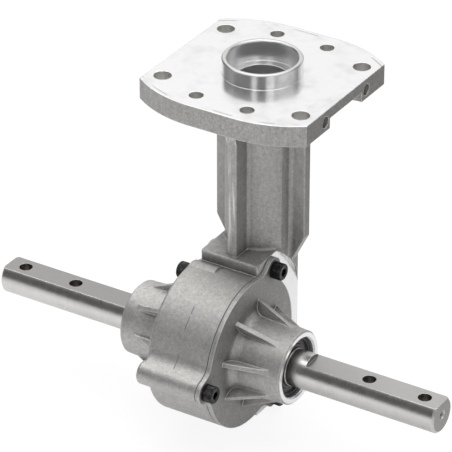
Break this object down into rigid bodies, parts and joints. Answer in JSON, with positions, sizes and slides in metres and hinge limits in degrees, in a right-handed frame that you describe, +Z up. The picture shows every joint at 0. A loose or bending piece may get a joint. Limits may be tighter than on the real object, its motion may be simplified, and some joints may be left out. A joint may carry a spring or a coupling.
{
  "type": "worm reduction gearbox",
  "caption": "Cast column gearbox with an engine flange on top and a cross shaft below, driven by an upright worm through a worm wheel.",
  "frame": {"origin": "centre of the collar bore at the flange's top face, on the worm axis", "axes": "+Z up out of the collar towards the engine, +X along the cross shaft towards the cover side"},
  "size_m": [0.254, 0.139, 0.188],
  "materials": {
    "cast_aluminium": "as cast, fine grain",
    "gasket_paper": "matte",
    "black_screws": "black oxide",
    "copper_washer": "satin",
    "shaft_steel": "ground",
    "wheel_bronze": "machined",
    "seal_rubber": "matte",
    "bearing_steel": "ground"
  },
  "bodies": {
    "housing": {"gear_case": "cast_aluminium", "side_cover": "cast_aluminium", "cover_gasket": "gasket_paper", "cover_screws": "black_screws", "filler_plug": "black_screws", "filler_washer": "copper_washer", "seal_left": "seal_rubber", "seal_right": "seal_rubber", "bearing_left_outer": "bearing_steel", "bearing_right_outer": "bearing_steel", "worm_circlip": "black_screws", "worm_upper_outer": "bearing_steel", "worm_lower_outer": "bearing_steel"},
    "output": {"output_shaft": "shaft_steel", "worm_wheel": "wheel_bronze", "wheel_key": "shaft_steel", "spacer_left": "shaft_steel", "spacer_right": "shaft_steel", "bearing_left_inner": "bearing_steel", "bearing_right_inner": "bearing_steel"},
    "worm": {"worm_shaft": "shaft_steel", "worm_upper_inner": "bearing_steel", "worm_lower_inner": "bearing_steel"},
    "left_ball_train": {"bearing_left_balls": "bearing_steel", "bearing_left_cage": "bearing_steel"},
    "right_ball_train": {"bearing_right_balls": "bearing_steel", "bearing_right_cage": "bearing_steel"},
    "upper_ball_train": {"worm_upper_balls": "bearing_steel", "worm_upper_cage": "bearing_steel"},
    "lower_ball_train": {"worm_lower_balls": "bearing_steel", "worm_lower_cage": "bearing_steel"}
  },
  "joints": [
    {"name": "output_spin", "type": "hinge", "parent": "housing", "child": "output", "pos_m": [0, -0.0405, -0.135], "axis": [1, 0, 0], "continuous": true},
    {"name": "worm_spin", "type": "hinge", "parent": "housing", "child": "worm", "pos_m": [0, 0, -0.135], "axis": [0, 0, 1], "continuous": true},
    {"name": "left_balls_spin", "type": "hinge", "parent": "housing", "child": "left_ball_train", "pos_m": [-0.0335, -0.0405, -0.135], "axis": [1, 0, 0], "continuous": true},
    {"name": "right_balls_spin", "type": "hinge", "parent": "housing", "child": "right_ball_train", "pos_m": [0.0335, -0.0405, -0.135], "axis": [1, 0, 0], "continuous": true},
    {"name": "upper_balls_spin", "type": "hinge", "parent": "housing", "child": "upper_ball_train", "pos_m": [0, 0, -0.105], "axis": [0, 0, 1], "continuous": true},
    {"name": "lower_balls_spin", "type": "hinge", "parent": "housing", "child": "lower_ball_train", "pos_m": [0, 0, -0.165], "axis": [0, 0, 1], "continuous": true}
  ],
  "couplings": [
    {"joint": "worm_spin", "follows": "output_spin", "ratio": -32},
    {"joint": "left_balls_spin", "follows": "output_spin", "ratio": 0.4331},
    {"joint": "right_balls_spin", "follows": "output_spin", "ratio": 0.4331},
    {"joint": "upper_balls_spin", "follows": "output_spin", "ratio": -11.875},
    {"joint": "lower_balls_spin", "follows": "output_spin", "ratio": -11.875}
  ]
}
